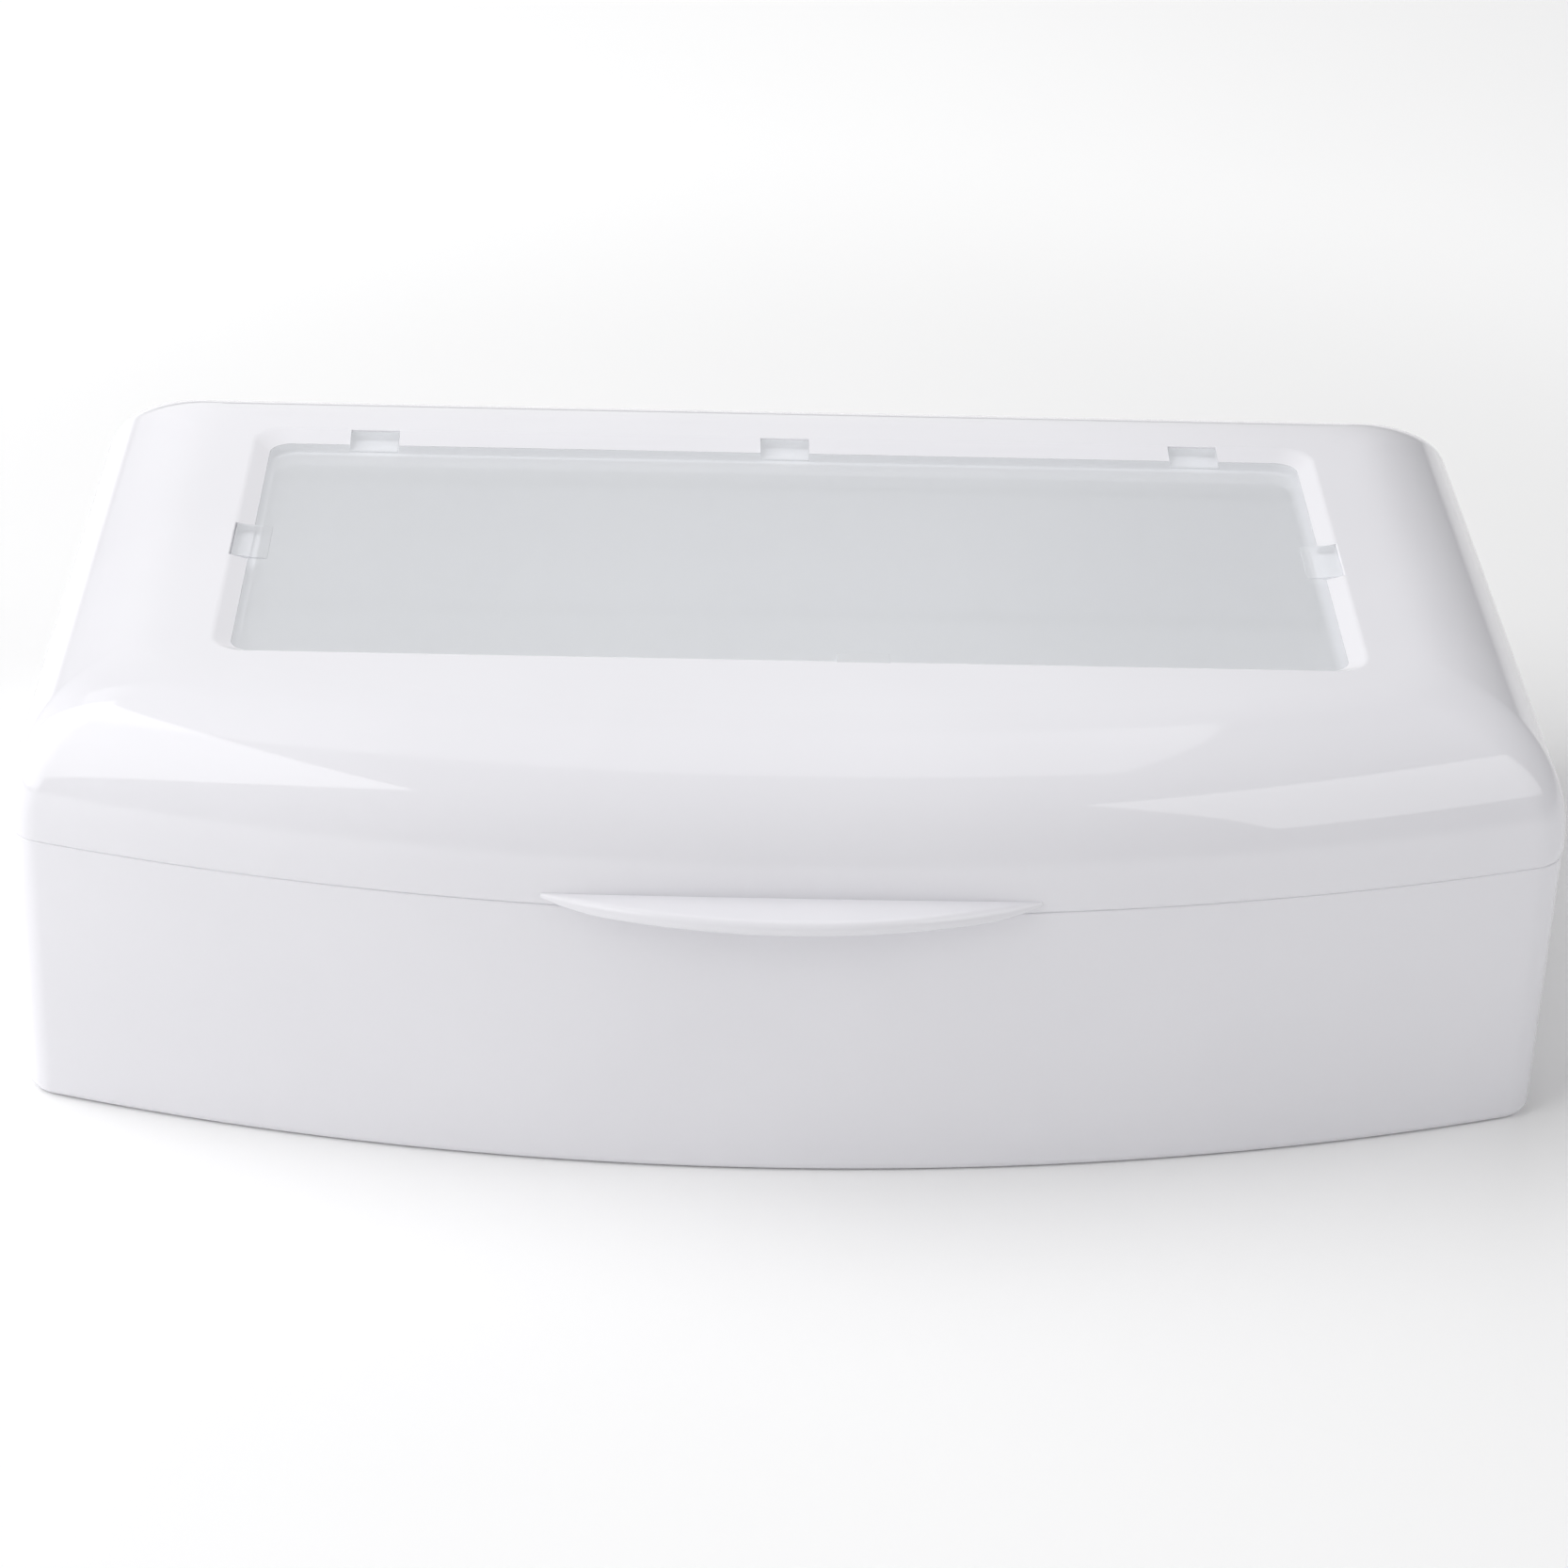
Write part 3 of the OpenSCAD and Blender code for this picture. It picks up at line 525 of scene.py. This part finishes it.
def new_material(name, **settings):
    """A Principled material with its constants on the shader, and helpers to add nodes to it."""
    material = bpy.data.materials.new(name)
    material.use_nodes = True
    tree = material.node_tree
    shader = tree.nodes["Principled BSDF"]
    for socket, value in settings.items():
        shader.inputs[socket.replace("_", " ")].default_value = value

    def add(kind, links=(), **values):
        node = tree.nodes.new(kind)
        for key, value in values.items():
            if key in node.inputs:
                node.inputs[key].default_value = value
            else:
                setattr(node, key, value)
        for socket, source in links:
            tree.links.new(source, node.inputs[socket])
        return node

    def link(source, socket):
        tree.links.new(source, shader.inputs[socket])

    return material, add, link


def set_range(node, **values):
    """Sets the limits of a Map Range node, given as From_Min and so on."""
    for socket, value in values.items():
        node.inputs[socket.replace("_", " ")].default_value = value


def moulded_plastic(name, low, high, gloss, rough, wave, grain):
    """White moulded plastic: faint flow marks, rubbed gloss, and a skin that is never quite flat.

    low and high are its colours, gloss and rough its roughness, wave and grain its unevenness.
    """
    material, add, link = new_material(name, IOR=1.5)
    place = add("ShaderNodeTexCoord").outputs["Object"]
    flow = add("ShaderNodeTexNoise", [("Vector", place)], Scale=14.0, Detail=3.0, Distortion=0.6)
    colour = add("ShaderNodeValToRGB", [("Fac", flow.outputs["Fac"])])
    colour.color_ramp.elements[0].position, colour.color_ramp.elements[1].position = 0.3, 0.7
    colour.color_ramp.elements[0].color, colour.color_ramp.elements[1].color = (*low, 1), (*high, 1)
    link(colour.outputs["Color"], "Base Color")
    rub = add("ShaderNodeTexNoise", [("Vector", place)], Scale=38.0, Detail=6.0, Roughness=0.65)
    stretch = add("ShaderNodeMapping", [("Vector", place)],
                  Rotation=(0, 0, 0.5), Scale=(60, 1400, 900))
    hair = add("ShaderNodeTexNoise", [("Vector", stretch.outputs["Vector"])], Scale=1.0, Detail=2.0)
    both = add("ShaderNodeMath", [(0, rub.outputs["Fac"]), (1, hair.outputs["Fac"])],
               operation="MULTIPLY")
    gloss_map = add("ShaderNodeMapRange", [("Value", both.outputs["Value"])])
    set_range(gloss_map, From_Min=0.1, From_Max=0.45, To_Min=gloss, To_Max=rough)
    link(gloss_map.outputs["Result"], "Roughness")
    swell = add("ShaderNodeTexNoise", [("Vector", place)], Scale=45.0, Detail=1.0)
    skin = add("ShaderNodeTexNoise", [("Vector", place)], Scale=900.0, Detail=2.0)
    broad = add("ShaderNodeBump", [("Height", swell.outputs["Fac"])],
                Strength=1.0, Distance=wave * MM)
    fine = add("ShaderNodeBump",
               [("Height", skin.outputs["Fac"]), ("Normal", broad.outputs["Normal"])],
               Strength=1.0, Distance=grain * MM)
    link(fine.outputs["Normal"], "Normal")
    return material


def frosted_plastic(name):
    """Hazy translucent plastic with a smooth face: part of the light goes straight through."""
    material, add, link = new_material(name, IOR=1.49, Alpha=0.54)
    place = add("ShaderNodeTexCoord").outputs["Object"]
    haze = add("ShaderNodeTexNoise", [("Vector", place)], Scale=22.0, Detail=4.0)
    colour = add("ShaderNodeValToRGB", [("Fac", haze.outputs["Fac"])])
    colour.color_ramp.elements[0].color = (0.745, 0.76, 0.785, 1)
    colour.color_ramp.elements[1].color = (0.775, 0.79, 0.815, 1)
    link(colour.outputs["Color"], "Base Color")
    frost = add("ShaderNodeTexNoise", [("Vector", place)], Scale=700.0, Detail=3.0)
    rough = add("ShaderNodeMapRange", [("Value", frost.outputs["Fac"])])
    set_range(rough, From_Min=0.3, From_Max=0.7, To_Min=0.08, To_Max=0.14)
    link(rough.outputs["Result"], "Roughness")
    warp = add("ShaderNodeTexNoise", [("Vector", place)], Scale=16.0, Detail=1.0)
    bump = add("ShaderNodeBump", [("Height", warp.outputs["Fac"])],
               Strength=1.0, Distance=0.06 * MM)
    link(bump.outputs["Normal"], "Normal")
    return material


def turned_steel(name):
    """Stainless pin stock with fine turning marks round its length."""
    material, add, link = new_material(name, Metallic=1.0)
    place = add("ShaderNodeTexCoord").outputs["Object"]
    stretch = add("ShaderNodeMapping", [("Vector", place)], Scale=(9000, 300, 300))
    marks = add("ShaderNodeTexNoise", [("Vector", stretch.outputs["Vector"])],
                Scale=1.0, Detail=3.0)
    colour = add("ShaderNodeValToRGB", [("Fac", marks.outputs["Fac"])])
    colour.color_ramp.elements[0].color = (0.50, 0.51, 0.53, 1)
    colour.color_ramp.elements[1].color = (0.72, 0.73, 0.75, 1)
    link(colour.outputs["Color"], "Base Color")
    rough = add("ShaderNodeMapRange", [("Value", marks.outputs["Fac"])])
    set_range(rough, To_Min=0.22, To_Max=0.4)
    link(rough.outputs["Result"], "Roughness")
    bump = add("ShaderNodeBump", [("Height", marks.outputs["Fac"])],
               Strength=0.5, Distance=0.01 * MM)
    link(bump.outputs["Normal"], "Normal")
    return material


def pale_floor(name):
    """White floor with a painted glow: it emits a little light, rising with distance from the tray, in
    place of the light that overexposes a studio floor.
    """
    material, add, link = new_material(name, Roughness=0.6, Emission_Color=(1, 1, 1, 1))
    place = add("ShaderNodeTexCoord").outputs["Object"]
    cloud = add("ShaderNodeTexNoise", [("Vector", place)], Scale=6.0, Detail=2.0)
    colour = add("ShaderNodeValToRGB", [("Fac", cloud.outputs["Fac"])])
    colour.color_ramp.elements[0].color = (0.95, 0.95, 0.95, 1)
    colour.color_ramp.elements[1].color = (0.97, 0.97, 0.97, 1)
    link(colour.outputs["Color"], "Base Color")
    spread = add("ShaderNodeMapping", [("Vector", place)],
                 Location=(0, -0.02, 0), Scale=(2.2, 2.2, 2.2))
    near = add("ShaderNodeTexGradient", [("Vector", spread.outputs["Vector"])],
               gradient_type="SPHERICAL")
    # Painted glow: the floor's emission grows with distance from the tray, standing in for studio light.
    painted_glow = add("ShaderNodeMapRange", [("Value", near.outputs["Fac"])],
               interpolation_type="SMOOTHSTEP")
    set_range(painted_glow, From_Min=0.5, From_Max=0.1, To_Min=0.0, To_Max=0.12)
    link(painted_glow.outputs["Result"], "Emission Strength")
    return material


# Stage: the camera fitted to the photograph, and lights where its highlights lie

FOCAL_PX, IMAGE_PX, SENSOR = 4941.3, 1666.0, 36.0
ELEVATION, YAW, ROLL = math.radians(28.0), math.radians(-1.6), math.radians(1.8)
AIM, DISTANCE = Vector((0.4, -0.25, 30.2)) * MM, 828.5 * MM
CLIP_END, FLOOR_HALF = 20, 3000.0
WORLD_COLOUR, WORLD_STRENGTH = (0.99, 0.985, 1.0, 1), 0.18


def make_camera():
    level = math.cos(ELEVATION)
    back = Vector((math.sin(YAW) * level, -math.cos(YAW) * level, math.sin(ELEVATION)))
    right = (-back).cross(Vector((0, 0, 1))).normalized()
    up = right.cross(-back)
    tilted_right = math.cos(ROLL) * right + math.sin(ROLL) * up
    tilted_up = math.cos(ROLL) * up - math.sin(ROLL) * right
    camera = bpy.data.cameras.new("camera")
    camera.sensor_width = SENSOR
    camera.lens = FOCAL_PX / IMAGE_PX * SENSOR
    camera.clip_end = CLIP_END
    obj = bpy.data.objects.new("camera", camera)
    turn = Matrix((tilted_right, tilted_up, back)).transposed().to_4x4()
    obj.matrix_world = Matrix.Translation(AIM + back * DISTANCE) @ turn
    bpy.context.scene.collection.objects.link(obj)
    bpy.context.scene.camera = obj


def panel(name, centre, facing, width, height, radiance, fade=0.0):
    """A light panel, in metres, that shows only by its light. fade softens its left and right edges."""
    light = bpy.data.lights.new(name, "AREA")
    light.shape = "RECTANGLE"
    light.size, light.size_y = width, height
    light.energy = radiance * math.pi * width * height
    if fade:
        light.use_nodes = True
        tree = light.node_tree
        place = tree.nodes.new("ShaderNodeNewGeometry").outputs["Parametric"]
        across = tree.nodes.new("ShaderNodeSeparateXYZ")
        tree.links.new(place, across.inputs[0])
        glow = tree.nodes.new("ShaderNodeValToRGB")
        glow.color_ramp.interpolation = "EASE"
        dark, bright = (0, 0, 0, 1), (1, 1, 1, 1)
        glow.color_ramp.elements[0].color, glow.color_ramp.elements[1].color = dark, bright
        glow.color_ramp.elements[1].position = fade
        glow.color_ramp.elements.new(1 - fade).color = bright
        glow.color_ramp.elements.new(1).color = dark
        tree.links.new(across.outputs["X"], glow.inputs["Fac"])
        tree.links.new(glow.outputs["Color"], tree.nodes["Emission"].inputs["Strength"])
    obj = bpy.data.objects.new(name, light)
    obj.location = centre
    obj.rotation_euler = Vector(facing).to_track_quat("-Z", "Y").to_euler()
    obj.visible_camera = False
    bpy.context.scene.collection.objects.link(obj)


def make_stage():
    skin = Skin()
    half = FLOOR_HALF
    skin.fill(skin.ring([(-half, -half, 0), (half, -half, 0), (half, half, 0), (-half, half, 0)]))
    floor = bpy.data.objects.new("floor", skin.mesh("floor"))
    floor.data.materials.append(pale_floor("floor"))
    bpy.context.scene.collection.objects.link(floor)
    world = bpy.data.worlds.new("studio")
    world.use_nodes = True
    background = world.node_tree.nodes["Background"]
    background.inputs["Color"].default_value = WORLD_COLOUR
    background.inputs["Strength"].default_value = WORLD_STRENGTH
    bpy.context.scene.world = world
    panel("left_panel", (-0.925, -0.28, 0.81), (0.914, 0, -0.407), 1.76, 1.6, 2.26)
    panel("right_panel", (0.75, -0.52, 0.78), (-0.82, 0.57, -0.25), 0.9, 0.85, 1.7)
    panel("back_panel", (-0.15, 1.4, 0.85), (0, -1, 0), 1.5, 1.5, 0.87, 0.4)
    panel("over_panel", (-0.35, 0.65, 1.6), (0, 0, -1), 1.5, 1.5, 0.98)
    bpy.context.scene.view_settings.view_transform = "Standard"


# The whole

shell = moulded_plastic(
    "shell_plastic", (0.80, 0.795, 0.83), (0.83, 0.825, 0.86),
    gloss=0.02, rough=0.05, wave=0.02, grain=0.0015)
satin = moulded_plastic(
    "strainer_plastic", (0.79, 0.79, 0.81), (0.83, 0.83, 0.85),
    gloss=0.28, rough=0.42, wave=0.02, grain=0.004)
pane = frosted_plastic("frosted_pane")
steel = turned_steel("pin_steel")

make_lid(shell)
make_tub(shell)
pane_mesh = refined("window_pane", PANE_EDGE_R, reshape=slope_tabs)
window = piece(pane_mesh, "lid", pane, "frosted_pane", "window_pane")
window.visible_shadow = False
basket_mesh = refined("strainer_basket", BASKET_EDGE_R)
piece(basket_mesh, "basket", satin, "strainer_plastic", "strainer_basket")
PIN_BODIES = {"hinge_pin": "base", "link_foot_pin": "base", "lift_pin": "lid", "link_head_pin": "basket"}
for side in ("left", "right"):
    link_node = "lift_link_" + side
    link_mesh = refined(link_node, LINK_EDGE_R)
    piece(link_mesh, "link_" + side, satin, "strainer_plastic", link_node)
    for pin, body in PIN_BODIES.items():
        pin_node = pin + "_" + side
        piece(refined(pin_node, PIN_EDGE_R), body, steel, "pin_steel", pin_node)

make_camera()
make_stage()
